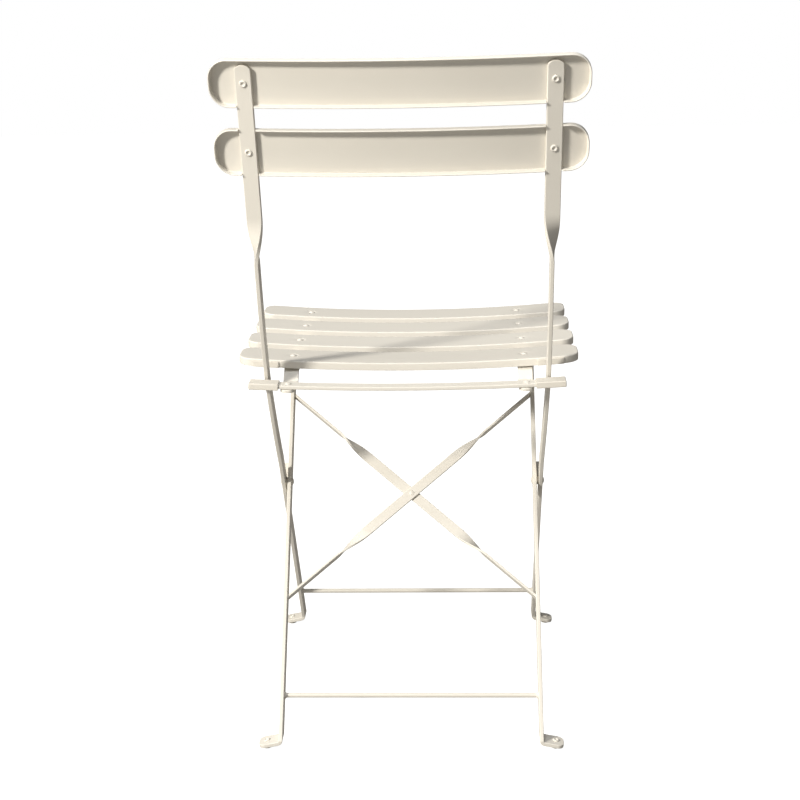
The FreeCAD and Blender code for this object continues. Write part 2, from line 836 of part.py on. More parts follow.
def sleeve():
    x1 = rearRailHalf + sleeveWall
    x0 = x1 - sleeveLength
    y0 = -sleeveFront()
    outerDepth = rearRailThickness / 2 + sleeveWall
    width = rearRailWidth + 2 * sleeveWall
    shell = dishSlab(railRadius, rearRailDrop - outerDepth, rearRailDrop + outerDepth,
                     x0, x1, y0, y0 + width)
    shell = shell.makeFillet(sleeveWall / 2, shell.Edges)
    inner = rearRailThickness / 2 + sleeveFit
    room = dishSlab(railRadius, rearRailDrop - inner, rearRailDrop + inner,
                    x0 - sleeveWall, rearRailHalf + sleeveFit,
                    y0 + sleeveWall - sleeveFit, y0 + sleeveWall + rearRailWidth + sleeveFit)
    return seatLevel(shell.cut(room))


def railRivets():
    low = footSeat() - seatRailThickness
    piece = rivet(side(seatRailHalf, rearRailForward(), low), Vector(0, 0, 1),
                  railRivetTop() - low, rivetRadius, rivetHeadRadius, rivetHeadHeight)
    return Part.makeCompound([piece, mirrored(piece)])


def padEnds():
    # The pad's inner and outer end, measured from the middle of the chair
    outer = slatHalf - seatCornerRadius - padEndGap
    return outer - padLength, outer


def padPegs(radius):
    # The two pegs of a pad, which go through the rear slat's rear flange
    depth = (slatEdgeRadius + padStep + slatDepth) / 2
    inner, outer = padEnds()
    pegs = []
    for x in (inner + padPegInset, outer - padPegInset):
        start = side(x, seatRear(), seatLowPoint + dishHeight(seatRadius, x) - depth)
        pegs.append(Part.makeCylinder(radius, slatWall + padPegShow, start, Vector(0, -1, 0)))
    return Part.makeCompound(pegs)


def slatPad():
    # A flat pad on the rear slat's rear flange, where the upright stands
    inner, outer = padEnds()
    face = -seatRear() + padWall
    plate = dishSlab(seatRadius, slatEdgeRadius + padStep, slatDepth, inner, outer, face - padWall, face)
    rim = [e for e in plate.Edges if e.BoundBox.YMin > face - tiny]
    plate = seatLevel(plate.makeFillet(padEdgeRadius, rim))
    return plate.fuse(padPegs(padPegRadius)).removeSplitter()


nodes = {}
nodes["left_upright_and_front_leg"] = frontLeg()
nodes["right_upright_and_front_leg"] = mirrored(nodes["left_upright_and_front_leg"])
nodes["upper_back_slat"] = backSlat(0)
nodes["lower_back_slat"] = backSlat(1)
nodes["back_slat_rivets"] = backRivets()
nodes["front_stretcher"] = stretcher(frontInner, frontUp, frontRodHeight)
nodes["front_glides"] = glides(frontFrameHalf, frontUp)
nodes["front_glide_rivets"] = glideRivets(frontFrameHalf, frontUp)
nodes["left_rear_leg"] = rearLeg()
nodes["right_rear_leg"] = mirrored(nodes["left_rear_leg"])
nodes["rear_stretcher"] = stretcher(rearInner, rearUp, rearRodHeight)
nodes["rear_glides"] = glides(rearFrameHalf, rearUp)
nodes["rear_glide_rivets"] = glideRivets(rearFrameHalf, rearUp)
nodes["brace_bar_a"] = braceBar(-1, 1)
nodes["brace_bar_b"] = braceBar(1, -1)
nodes["brace_rivet"] = braceRivet()
nodes["pivot_rivets"] = pivotRivets()
nodes["pivot_spacers"] = pivotSpacers()
stop = openingStop()
nodes["opening_stops"] = Part.makeCompound([stop, mirrored(stop)])
for index in range(seatSlatCount):
    nodes["seat_slat_%d" % (index + 1)] = seatSlat(index)
nodes["left_seat_rail"] = seatRail()
nodes["right_seat_rail"] = mirrored(nodes["left_seat_rail"])
nodes["left_hinge_ear"] = hingeEar()
nodes["right_hinge_ear"] = mirrored(nodes["left_hinge_ear"])
nodes["seat_hinge_pins"] = hingePins()
nodes["seat_hinge_washers"] = hingeWashers()
nodes["seat_slat_rivets"] = seatRivets()
nodes["seat_slat_spacers"] = slatSpacers()
nodes["rear_rail"] = rearRail()
nodes["left_sleeve"] = sleeve()
nodes["right_sleeve"] = mirrored(nodes["left_sleeve"])
nodes["rear_rail_rivets"] = railRivets()
nodes["left_slat_pad"] = slatPad()
nodes["right_slat_pad"] = mirrored(nodes["left_slat_pad"])

# The origin is the middle of the chair's box, on the floor
whole = Part.makeCompound(list(nodes.values())).BoundBox
shift = Vector(-whole.Center.x, -whole.Center.y, -whole.ZMin)
for name, shape in nodes.items():
    moved = shape.copy()
    moved.translate(shift)
    moved.exportStep("parts/%s.step" % name)
    print(name, "solids", len(moved.Solids), "valid", moved.isValid(), "volume", round(moved.Volume, 1))
print("box", round(whole.XLength, 2), round(whole.YLength, 2), round(whole.ZLength, 2))
print("shift", round(shift.y, 3), round(shift.z, 3))
print("pivot", [round(v, 3) for v in (pivot + shift)], "seat hinge", [round(v, 3) for v in (seatHinge + shift)])
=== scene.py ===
import math
import bmesh
import bpy
from mathutils import Matrix, Vector


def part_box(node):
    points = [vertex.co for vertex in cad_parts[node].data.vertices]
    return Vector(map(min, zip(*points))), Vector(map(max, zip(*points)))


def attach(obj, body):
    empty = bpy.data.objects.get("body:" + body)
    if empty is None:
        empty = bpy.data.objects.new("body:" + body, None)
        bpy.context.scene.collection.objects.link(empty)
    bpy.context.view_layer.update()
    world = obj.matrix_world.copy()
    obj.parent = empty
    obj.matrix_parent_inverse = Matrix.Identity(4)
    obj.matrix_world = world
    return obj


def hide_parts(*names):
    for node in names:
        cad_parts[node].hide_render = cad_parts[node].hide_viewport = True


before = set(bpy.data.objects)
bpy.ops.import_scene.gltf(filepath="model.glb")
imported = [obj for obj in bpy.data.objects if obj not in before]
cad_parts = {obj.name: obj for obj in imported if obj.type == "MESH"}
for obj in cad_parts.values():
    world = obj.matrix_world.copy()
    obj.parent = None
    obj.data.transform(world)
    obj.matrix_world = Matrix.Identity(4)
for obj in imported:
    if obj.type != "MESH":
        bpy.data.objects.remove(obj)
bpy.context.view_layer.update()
print("frame loaded")

# Folding bistro chair. Lengths are in millimetres up to the moment a mesh is made.
# The front faces -Y, the sitter's left is +X.
metre = 0.001


# Node helpers

def feed(tree, node, values):
    # Each value is a plain one or the socket of another node
    for slot, value in values.items():
        if isinstance(value, bpy.types.NodeSocket):
            tree.links.new(value, node.inputs[slot])
        else:
            node.inputs[slot].default_value = value


def addMix(tree, kind, amount, first, second):
    node = tree.nodes.new("ShaderNodeMix")
    node.data_type = "RGBA"
    node.blend_type = kind
    feed(tree, node, {0: amount, 6: first, 7: second})
    return node.outputs[2]


# View and light

viewpoint = {
    "place": (-62.98, 1815.05, 906.29),
    "heading": 182.42,
    "tilt": 73.83,
    "roll": -1.14,
    "lens": 66.64,
    "sensor": 36,
    "near": 50,
    "far": 60000,
}

studio = {
    "keyPlace": (4320, 3820, 3480),
    "keyAim": (0, 100, 600),
    "keySize": 900,
    "keyPower": 500,
    "keyColour": (1, 0.965, 0.89),
    "highPlace": (200, 700, 2500),
    "highAim": (0, 0, 400),
    "highSize": 900,
    "highPower": 24,
    "highColour": (0.98, 0.99, 1),
    "roomBrightness": 0.16,
    "roomColour": (1, 0.98, 0.94, 1),
    "paperColour": (0.36, 0.355, 0.345, 1),
    "floorSize": 14000,
    "floorDrop": 0.4,
}


def addObject(name, data):
    thing = bpy.data.objects.new(name, data)
    bpy.context.scene.collection.objects.link(thing)
    return thing


def placeCamera():
    eye = addObject("photoCamera", bpy.data.cameras.new("photoCamera"))
    eye.data.sensor_width = viewpoint["sensor"]
    eye.data.lens = viewpoint["lens"]
    eye.data.clip_start = viewpoint["near"] * metre
    eye.data.clip_end = viewpoint["far"] * metre
    turn = Matrix.Rotation(math.radians(viewpoint["heading"]), 4, "Z")
    turn = turn @ Matrix.Rotation(math.radians(viewpoint["tilt"]), 4, "X")
    turn = turn @ Matrix.Rotation(math.radians(viewpoint["roll"]), 4, "Z")
    eye.matrix_world = Matrix.Translation(Vector(viewpoint["place"]) * metre) @ turn
    bpy.context.scene.camera = eye


def addSoftbox(name):
    data = bpy.data.lights.new(name + "Softbox", "AREA")
    data.shape = "SQUARE"
    data.size = studio[name + "Size"] * metre
    data.energy = studio[name + "Power"]
    data.color = studio[name + "Colour"]
    place = Vector(studio[name + "Place"]) * metre
    turn = (Vector(studio[name + "Aim"]) * metre - place).to_track_quat("-Z", "Y")
    box = addObject(name + "Softbox", data)
    box.matrix_world = Matrix.Translation(place) @ turn.to_matrix().to_4x4()


def layFloor():
    half = studio["floorSize"] * metre / 2
    drop = -studio["floorDrop"] * metre
    mesh = bpy.data.meshes.new("studioFloor")
    mesh.from_pydata([(x * half, y * half, drop) for x, y in ((-1, -1), (1, -1), (1, 1), (-1, 1))],
                     [], [(0, 1, 2, 3)])
    floor = addObject("studioFloor", mesh)
    paper = bpy.data.materials.new("palePaper")
    paper.use_nodes = True
    tree = paper.node_tree
    seen = tree.nodes.new("ShaderNodeLightPath")           # the paper glows for the viewer only
    feed(tree, tree.nodes["Principled BSDF"], {
        "Base Color": studio["paperColour"], "Roughness": 0.9, "Emission Color": (1, 1, 1, 1),
        "Emission Strength": seen.outputs["Is Camera Ray"]})
    mesh.materials.append(paper)


def lightRoom():
    world = bpy.data.worlds.new("paleRoom")
    world.use_nodes = True
    tree = world.node_tree
    seen = tree.nodes.new("ShaderNodeLightPath").outputs["Is Camera Ray"]
    shade = addMix(tree, "MIX", seen, studio["roomColour"], (1, 1, 1, 1))
    bright = tree.nodes.new("ShaderNodeMix")               # the room is warm and dim, its back wall white
    feed(tree, bright, {0: seen, 2: studio["roomBrightness"], 3: 1.0})
    feed(tree, tree.nodes["Background"], {"Color": shade, "Strength": bright.outputs[0]})
    bpy.context.scene.world = world
    addSoftbox("key")
    addSoftbox("high")


placeCamera()
layFloor()
lightRoom()
bpy.context.scene.view_settings.view_transform = "Standard"
print("camera, floor and lights placed")


# Finishes

# In each shade the second colour is a painted highlight for the edges, the third painted shade for where
# faces meet
paintShade = {
    "Colour": (0.765, 0.73, 0.665, 1),
    "Rim Colour": (0.89, 0.87, 0.815, 1),
    "Nook Colour": (0.43, 0.38, 0.3, 1),
}
plasticShade = {
    "Colour": (0.73, 0.69, 0.62, 1),
    "Rim Colour": (0.82, 0.79, 0.73, 1),
    "Nook Colour": (0.4, 0.37, 0.31, 1),
}
coatValues = {
    # Amounts of painted edge highlight and of painted shade where faces meet
    "Rim Amount": 0.4,
    "Nook Amount": 0.35,
    "Drift Amount": 0.05,
    "Roughness": 0.45,
    "Peel Scale": 620.0,
    "Grain Scale": 2400.0,
    "Peel Share": 0.65,
    "Reach": 0.0012,
}
coatForm = {
    "driftScale": 11.0,
    "driftTint": (0.62, 0.6, 0.55, 1),
    "driftDulls": 0.06,
    "speckScale": 1500.0,
    "speckShare": 0.12,
    # Breakup of the painted edge highlight, which also makes the edges a little glossier
    "highlightBreakScale": 160.0,
    "highlightBreakup": 0.35,
    "rimPolishes": 0.05,
    # Reach and breakup of the painted shade where faces meet, which also makes the coat duller there
    "shadowReach": 0.006,
    "shadowBreakScale": 70.0,
    "nookDulls": 0.18,
    "clearRoughness": 0.35,
}


def newGroup(name, inputs, outputs):
    group = bpy.data.node_groups.new(name, "ShaderNodeTree")
    for label, kind, value in inputs:
        socket = group.interface.new_socket(name=label, in_out="INPUT", socket_type=kind)
        socket.default_value = value
    for label, kind in outputs:
        group.interface.new_socket(name=label, in_out="OUTPUT", socket_type=kind)
    start = group.nodes.new("NodeGroupInput")
    return group, start.outputs, group.nodes.new("NodeGroupOutput")


def floatInputs(labels):
    return [(label, "NodeSocketFloat", coatValues[label]) for label in labels]


def addNoise(group, scale, detail, roughness=0.5):
    place = group.nodes.new("ShaderNodeTexCoord").outputs["Object"]
    noise = group.nodes.new("ShaderNodeTexNoise")
    feed(group, noise, {"Vector": place, "Scale": scale, "Detail": detail, "Roughness": roughness})
    return noise.outputs["Fac"]


def addMath(group, operation, first, second):
    node = group.nodes.new("ShaderNodeMath")
    node.operation = operation
    feed(group, node, {0: first, 1: second})
    return node.outputs[0]


def times(group, first, second):
    return addMath(group, "MULTIPLY", first, second)


def addRange(group, value, low, high, toLow=0.0, toHigh=1.0):
    node = group.nodes.new("ShaderNodeMapRange")
    node.interpolation_type = "SMOOTHSTEP"
    feed(group, node, {"Value": value, "From Min": low, "From Max": high, "To Min": toLow, "To Max": toHigh})
    return node.outputs["Result"]


def makeSprayGrain():
    # Fine orange peel of a sprayed and baked coat, with a slow drift in its tone
    group, given, end = newGroup("sprayGrain", floatInputs(("Peel Scale", "Grain Scale", "Peel Share")),
                                 [(label, "NodeSocketFloat") for label in ("Height", "Drift", "Speck")])
    peel = times(group, addNoise(group, given["Peel Scale"], 1.5), given["Peel Share"])
    rest = addMath(group, "SUBTRACT", 1.0, given["Peel Share"])
    grain = times(group, addNoise(group, given["Grain Scale"], 2.0), rest)
    drift = addRange(group, addNoise(group, coatForm["driftScale"], 3.0, 0.55), 0.32, 0.68)
    speck = addRange(group, addNoise(group, coatForm["speckScale"], 0.0), 0.66, 0.78)
    feed(group, end, {"Height": addMath(group, "ADD", peel, grain), "Drift": drift, "Speck": speck})
    return group


def makeHighlightMask():
    # Painted highlight: every edge is made lighter, as light would catch it there, broken up by a coarse
    # noise
    breakup = ("Breakup", "NodeSocketFloat", coatForm["highlightBreakup"])
    group, given, end = newGroup("highlightMask", floatInputs(("Reach",)) + [breakup], [("Rim", "NodeSocketFloat")])
    bevel = group.nodes.new("ShaderNodeBevel")
    bevel.samples = 4
    feed(group, bevel, {"Radius": given["Reach"]})
    shape = group.nodes.new("ShaderNodeNewGeometry")
    dot = group.nodes.new("ShaderNodeVectorMath")
    dot.operation = "DOT_PRODUCT"
    feed(group, dot, {0: bevel.outputs["Normal"], 1: shape.outputs["Normal"]})
    rim = addRange(group, dot.outputs["Value"], 0.999, 0.90)
    broken = times(group, addNoise(group, coatForm["highlightBreakScale"], 3.0), given["Breakup"])
    feed(group, end, {"Rim": times(group, rim, addMath(group, "SUBTRACT", 1.15, broken))})
    return group


def makeShadowMask():
    # Painted shade where two faces meet, from an occlusion mask broken up by noise; the coat is also made
    # duller there
    group, given, end = newGroup("shadowMask", [("Distance", "NodeSocketFloat", coatForm["shadowReach"])],
                                 [("Nook", "NodeSocketFloat")])
    hollow = group.nodes.new("ShaderNodeAmbientOcclusion")
    hollow.samples = 6
    feed(group, hollow, {"Distance": given["Distance"]})
    shadow = addRange(group, hollow.outputs["AO"], 0.62, 0.12)
    shadowBreakup = addRange(group, addNoise(group, coatForm["shadowBreakScale"], 3.0), 0.25, 0.7, 0.55, 1.0)
    feed(group, end, {"Nook": times(group, shadow, shadowBreakup)})
    return group


def makeCoatTone():
    # Puts the grain, the painted edge highlight and the painted corner shade together into one colour, one
    # roughness and one height
    inputs = [(label, "NodeSocketColor", value) for label, value in paintShade.items()]
    group, given, end = newGroup("coatTone", inputs + floatInputs(coatValues),
                                 [("Colour", "NodeSocketColor"), ("Roughness", "NodeSocketFloat"),
                                  ("Height", "NodeSocketFloat")])

    def used(tree, *labels):
        node = group.nodes.new("ShaderNodeGroup")
        node.node_tree = tree
        feed(group, node, {label: given[label] for label in labels})
        return node.outputs

    spray = used(makeSprayGrain(), "Peel Scale", "Grain Scale", "Peel Share")
    rim = used(makeHighlightMask(), "Reach")["Rim"]
    shadow = used(makeShadowMask())["Nook"]
    amount = times(group, spray["Drift"], given["Drift Amount"])
    tone = addMix(group, "MULTIPLY", amount, given["Colour"], coatForm["driftTint"])
    # Light specks in the coat, tinted with the same pale colour as the painted edge highlight
    amount = times(group, spray["Speck"], coatForm["speckShare"])
    tone = addMix(group, "MIX", amount, tone, given["Rim Colour"])
    # Painted highlight along the edges, then painted shade where faces meet
    for mask, label in ((rim, "Rim"), (shadow, "Nook")):
        amount = times(group, mask, given[label + " Amount"])
        tone = addMix(group, "MIX", amount, tone, given[label + " Colour"])
    gloss = addMath(group, "ADD", given["Roughness"], times(group, spray["Drift"], coatForm["driftDulls"]))
    gloss = addMath(group, "ADD", gloss, times(group, shadow, coatForm["nookDulls"]))
    gloss = addMath(group, "SUBTRACT", gloss, times(group, rim, coatForm["rimPolishes"]))
    feed(group, end, {"Colour": tone, "Roughness": gloss, "Height": spray["Height"]})
    return group


coatTone = makeCoatTone()


def makeFinish(name, shade, bump, bumpStep, specular, coat, **values):
    finish = bpy.data.materials.new(name)
    finish.use_nodes = True
    tree = finish.node_tree
    tone = tree.nodes.new("ShaderNodeGroup")
    tone.node_tree = coatTone
    feed(tree, tone, shade)
    feed(tree, tone, {label.replace("_", " "): value for label, value in values.items()})
    lift = tree.nodes.new("ShaderNodeBump")
    feed(tree, lift, {"Strength": bump, "Distance": bumpStep * metre, "Height": tone.outputs["Height"]})
    feed(tree, tree.nodes["Principled BSDF"], {
        "Base Color": tone.outputs["Colour"], "Roughness": tone.outputs["Roughness"],
        "Normal": lift.outputs["Normal"], "Specular IOR Level": specular, "Coat Weight": coat,
        "Coat Roughness": coatForm["clearRoughness"]})
    return finish


# Each finish sets how much painted edge highlight and painted corner shade it gets
slatPaint = makeFinish("slatPaint", paintShade, 0.35, 0.05, 0.42, 0.08, Rim_Amount=0.75, Nook_Amount=0.4)
barPaint = makeFinish("barPaint", paintShade, 0.35, 0.05, 0.42, 0.08, Rim_Amount=0.35, Nook_Amount=0.3,
                      Peel_Scale=700.0)
rodPaint = makeFinish("rodPaint", paintShade, 0.3, 0.05, 0.4, 0.05, Rim_Amount=0.15, Nook_Amount=0.35,
                      Peel_Scale=900.0)
weldPaint = makeFinish("weldPaint", paintShade, 0.8, 0.15, 0.4, 0.05, Rim_Amount=0.2, Nook_Amount=0.5,
                       Peel_Scale=420.0, Peel_Share=0.85)
rivetPaint = makeFinish("rivetPaint", paintShade, 0.25, 0.04, 0.5, 0.15, Rim_Amount=0.35, Nook_Amount=0.45,
                        Reach=0.0006)
washerPaint = makeFinish("washerPaint", paintShade, 0.3, 0.05, 0.4, 0.05, Rim_Amount=0.2, Nook_Amount=0.6)
sleevePlastic = makeFinish("sleevePlastic", plasticShade, 0.3, 0.04, 0.35, 0.0, Rim_Amount=0.3,
                           Nook_Amount=0.4, Roughness=0.52, Peel_Scale=1400.0, Peel_Share=0.4)
glidePlastic = makeFinish("glidePlastic", plasticShade, 0.3, 0.04, 0.35, 0.0, Rim_Amount=0.3,
                          Nook_Amount=0.5, Roughness=0.58, Peel_Scale=1100.0, Peel_Share=0.5)
print("finishes made")


# The frame's lines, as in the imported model

layout = {
    "pivot": (0, 6.159, 272.6),
    "rearLean": 37.3,
    "frontLean": 31.9,
    "backLean": 13.3,
    "bendHeight": 433,
    "bendRadius": 740,
    "topHeight": 818.5,
    "rearHalf": 158,
    "frontHalf": 165.5,
    "uprightHalf": 168,
    "spread": 3.6,
    "spreadRise": 36,
    "railHalf": 142,
    "seatLow": 449.4,
    "seatDish": 9,
    "backDish": 13,
    "slatHalf": 207,
    "slatPitch": 78,
    "seatSlatWidth": 56,
    "backSlatWidth": 53,
    "seatCorner": 17,
    "backCorner": 22,
    "barWidth": 18,
    "barThick": 5,
}


def leaningUp(degrees):
    angle = math.radians(degrees)
    return Vector((0, -math.sin(angle), math.cos(angle)))


def squareTo(along):
    return Vector((0, -along.z, along.y))


def dish(radius, x):
    return radius - math.sqrt(radius * radius - x * x)


def dishRadius(half, depth):
    return (half ** 2 + depth ** 2) / (2 * depth)


def boxOf(node):
    low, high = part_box(node)
    return Vector(low) / metre, Vector(high) / metre


def centreOf(node):
    low, high = boxOf(node)
    return (low + high) / 2


pivot = Vector(layout["pivot"])
rearUp = leaningUp(layout["rearLean"])
rearFront = squareTo(rearUp)
frontUp = leaningUp(-layout["frontLean"])
frontFront = squareTo(frontUp)
topUp = leaningUp(-layout["backLean"])
topFront = squareTo(topUp)
sideways = Vector((1, 0, 0))
backwards = Vector((0, 1, 0))
upwards = Vector((0, 0, 1))
bendPoint = pivot + frontUp * ((layout["bendHeight"] - pivot.z) / frontUp.z)
bendAngle = math.radians(layout["frontLean"] - layout["backLean"])
seatRadius = dishRadius(layout["slatHalf"], layout["seatDish"])
backRadius = dishRadius(layout["slatHalf"], layout["backDish"])
uprightTurn = math.asin(layout["uprightHalf"] / backRadius)
legEnds = (("front", "backrest_frame", frontUp), ("rear", "rear_leg_frame", rearUp))


def onLeg(up, height):
    return pivot + up * ((height - pivot.z) / up.z)


def backRow(index):
    # Middle of a back slat on the line between the uprights, 0 is the upper slat
    top = bendPoint + topUp * ((layout["topHeight"] - layout["bendHeight"]) / topUp.z)
    return top - topUp * (layout["backSlatWidth"] / 2 + index * layout["slatPitch"])


# Mesh helpers

def addPiece(name, body, finish, nodes, parts, crease=42, mirror=False):
    # One mesh from one or more (points, faces) lists; every part keeps its own place
    mesh = bpy.data.meshes.new(name)
    allPoints = []
    allFaces = []
    for points, faces in parts:
        start = len(allPoints)
        allPoints += [(-p.x if mirror else p.x, p.y, p.z) for p in points]
        allFaces += [tuple(start + i for i in face) for face in faces]
    mesh.from_pydata([tuple(v * metre for v in p) for p in allPoints], [], allFaces)
    work = bmesh.new()
    work.from_mesh(mesh)
    bmesh.ops.remove_doubles(work, verts=work.verts, dist=2e-6)
    bmesh.ops.dissolve_degenerate(work, edges=work.edges, dist=1e-7)
    bmesh.ops.recalc_face_normals(work, faces=work.faces)
    work.to_mesh(mesh)
    work.free()
    mesh.polygons.foreach_set("use_smooth", [True] * len(mesh.polygons))
    mesh.set_sharp_from_angle(angle=math.radians(crease))
    mesh.materials.append(finish)
    piece = addObject(name, mesh)
    even = piece.modifiers.new("evenShade", "WEIGHTED_NORMAL")
    even.keep_sharp = True
    even.weight = 60
    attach(piece, body)
    if nodes:
        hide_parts(*nodes)


def addPair(name, body, finish, node, parts):
    # The left piece as it is given, and its mirror image on the right
    addPiece("left" + name, body, finish, ["left_" + node], parts)
    addPiece("right" + name, body, finish, ["right_" + node], parts, mirror=True)


def joinMirrored(parts):
    return parts + [([Vector((-p.x, p.y, p.z)) for p in points], faces) for points, faces in parts]


def ringFaces(rows, count, capped=True):
    # Faces between equal rings of points, closed at both ends
    faces = []
    for row in range(rows - 1):
        for i in range(count):
            j = (i + 1) % count
            faces.append((row * count + i, row * count + j, (row + 1) * count + j, (row + 1) * count + i))
    if capped:
        last = (rows - 1) * count
        faces += [tuple(range(count)), tuple(last + i for i in reversed(range(count)))]
    return faces


def barLoop(width, thick, edge, steps=4):
    # A rounded rectangle, as pairs of (across, through)
    edge = min(edge, width / 2 * 0.98, thick / 2 * 0.98)
    a = width / 2 - edge
    t = thick / 2 - edge
    loop = []
    for quarter, (signA, signT) in enumerate(((1, 1), (-1, 1), (-1, -1), (1, -1))):
        for i in range(steps + 1):
            angle = math.pi / 2 * (quarter + i / steps)
            loop.append((signA * a + edge * math.cos(angle), signT * t + edge * math.sin(angle)))
    return loop


def sweep(stations):
    # Each station: centre, across, through, width, thickness, edge radius
    points = []
    for centre, across, through, width, thick, edge in stations:
        loop = barLoop(width, thick, edge)
        points += [centre + across * a + through * t for a, t in loop]
    return points, ringFaces(len(stations), len(loop))


rimSteps = (0, 0.12, 0.3, 0.6, 1.0)


def rimThick(d, thick, edge):
    # Thickness at a distance from a tip whose rim is rounded
    return thick - 2 * edge + 2 * math.sqrt(max(edge ** 2 - max(edge - d, 0) ** 2, 0.0))


def roundedEnd(tip, inward, across, through, width, thick, edge, radius, steps=10):
    # Stations from the tip of a bar inwards: its corners are rounded in plan and its rim all round
    distances = {radius * (1 - math.cos(math.pi / 2 * i / steps)) for i in range(steps + 1)}
    distances |= {edge * share for share in rimSteps}
    result = []
    for d in sorted(distances):
        plan = width / 2 - radius + math.sqrt(max(radius ** 2 - max(radius - d, 0) ** 2, 0.0))
        plan = max(plan, 0.3)
        result.append((tip + inward * d, across, through, 2 * plan, rimThick(d, thick, edge), edge))
    return result


def crownedEnd(tip, inward, across, through, width, thick, edge, crown, shoulder, steps=14):
    # Like roundedEnd, for a bar that ends in a shallow arc with rounded shoulders
    arc = (width * width / 4 + crown * crown) / (2 * crown)
    distances = {crown * (i / steps) ** 2 for i in range(steps + 1)}
    distances |= {crown + shoulder * share for share in (-0.5, -0.25, 0.25, 0.5, 0.75, 1.0)}
    distances |= {edge * share for share in rimSteps}
    result = []
    for d in sorted(distances):
        bend = min(d, 2 * arc - d)
        plan = math.sqrt(max(arc ** 2 - (arc - bend) ** 2, 0.0))
        ease = min(max((d - crown + shoulder) / (2 * shoulder), 0.0), 1.0)
        limit = width / 2
        if 0 < ease < 1:
            limit -= 0.16 * shoulder * (1 - (2 * ease - 1) ** 2)
        plan = max(min(plan, limit), 0.5)
        result.append((tip + inward * d, across, through, 2 * plan, rimThick(d, thick, edge), edge))
    return result


def lathe(foot, axis, profile, segments=40):
    # profile: (radius, height) pairs from one end of the axis to the other
    side = axis.orthogonal().normalized()
    other = axis.cross(side)
    points = []
    for radius, height in profile:
        for i in range(segments):
            angle = 2 * math.pi * i / segments
            out = side * math.cos(angle) + other * math.sin(angle)
            points.append(foot + axis * height + out * max(radius, 0.01))
    return points, ringFaces(len(profile), segments)


# Slats: pressed trays with a rolled free edge

slatForm = {
    "length": 414,
    "depth": 9.5,
    "wall": 1.5,
    "edge": 1.6,
    "insideBend": 1.0,
    "lip": 0.62,
    "flangeMid": 0.55,
    "drawIn": 0.05,
    "notchLength": 18.8,
    "notchCorner": 0.5,
    "notchReach": 3.2,
    "notchStep": 0.4,
    "dimple": 0.75,
    "dimpleFlat": 4.4,
    "dimpleReach": 9.0,
    "dimpleFine": 10,
    "dimpleStep": 1.0,
}


def slatOutline(width, corner, fineAt):
    # Points and outward normals round the tray, with more of them near the notches and the rivets
    half = slatForm["length"] / 2
    straight = half - corner
    places = {round(-straight + 2 * straight * i / 46, 3) for i in range(47)}
    for middle, reach, step in fineAt:
        count = int(2 * reach / step)
        places |= {round(middle - reach + step * i, 3) for i in range(count + 1)}
    xs = sorted(x for x in places if -straight <= x <= straight)
    flat = width / 2 - corner
    outline = []

    def turn(cx, cy, startAngle):
        for i in range(1, 16):
            angle = math.radians(startAngle - 90 * i / 16)
            outline.append((cx + corner * math.cos(angle), cy + corner * math.sin(angle),
                            math.cos(angle), math.sin(angle)))

    for sign, row, angles in ((1, xs, (90, 0)), (-1, xs[::-1], (-90, -180))):
        outline += [(x, sign * width / 2, 0, sign) for x in row]
        turn(sign * straight, sign * flat, angles[0])
        outline += [(sign * half, sign * (flat - 2 * flat * i / 6), sign, 0) for i in range(7)]
        turn(sign * straight, -sign * flat, angles[1])
    return outline


def smoothStep(value):
    value = min(max(value, 0.0), 1.0)
    return value * value * (3 - 2 * value)


def slatShape(radius, width, corner, notches, dimples):
    # notches: (middle, side) with side +1 or -1; dimples: places along the slat's length
    form = slatForm
    wall = form["wall"]
    edge = form["edge"]
    lip = form["lip"]
    bend = form["insideBend"]
    notchHalf = form["notchLength"] / 2
    fine = [(middle + end * notchHalf, form["notchReach"], form["notchStep"])
            for end in (-1, 1) for middle, side in notches]
    fine += [(middle, form["dimpleFine"], form["dimpleStep"]) for middle in dimples]
    outline = slatOutline(width, corner, fine)

    def flangeDepth(x, y):
        share = 0
        for middle, side in notches:
            if y * side > width / 2 - corner:
                gap = abs(x - middle) - notchHalf
                share = max(share, 1 - smoothStep(gap / form["notchCorner"] + 0.5))
        return form["depth"] - (form["depth"] - wall) * share

    shares = (0.06, 0.14, 0.24, 0.34, 0.44, 0.54, 0.62, 0.68, 0.73, 0.78, 0.83, 0.88, 0.92, 0.96, 1.0)
    squeeze = [1 - s for s in shares]
    rings = [("face", edge, 0, s) for s in reversed(squeeze)]  # (kind, inset, depth, squeeze)

    def quarter(steps):
        for i in range(steps + 1):
            a = math.pi / 2 * i / steps
            yield 1 - math.sin(a), 1 - math.cos(a)

    rings += [("outer", edge * s, edge * c, 1) for s, c in quarter(5)]
    rings.append(("outer", 0, form["depth"] * form["flangeMid"], 1))
    rings += [("lip", lip * c, lip * s, 1) for s, c in quarter(3)]
    rings += [("lip", wall - lip * s, lip * c, 1) for s, c in quarter(3)]
    rings.append(("inner", wall, form["depth"] * form["flangeMid"], 1))
    rings += [("inner", wall + bend * c, wall + bend * s, 1) for s, c in quarter(4)]
    rings += [("under", wall + bend, wall, s) for s in squeeze]
    points = []
    for kind, inset, depth, shrink in rings:
        pull = 1 - form["drawIn"] * (1 - shrink)
        for x, y, nx, ny in outline:
            px = (x - nx * inset) * pull
            py = (y - ny * inset) * shrink
            bottom = flangeDepth(x, y)
            d = depth
            if kind == "outer":
                d = min(depth, bottom - lip)
            if kind == "lip":
                d = bottom - depth
            if kind == "inner":
                d = max(min(depth, bottom), wall)
            if kind in ("face", "outer"):
                for middle in dimples:
                    away = math.hypot(px - middle, py)
                    inside = (form["dimpleReach"] - away) / (form["dimpleReach"] - form["dimpleFlat"])
                    d += form["dimple"] * smoothStep(inside)
            r = radius + d
            points.append(Vector((px, py, radius - math.sqrt(r * r - px * px))))
    return points, ringFaces(len(rings), len(outline), capped=False)


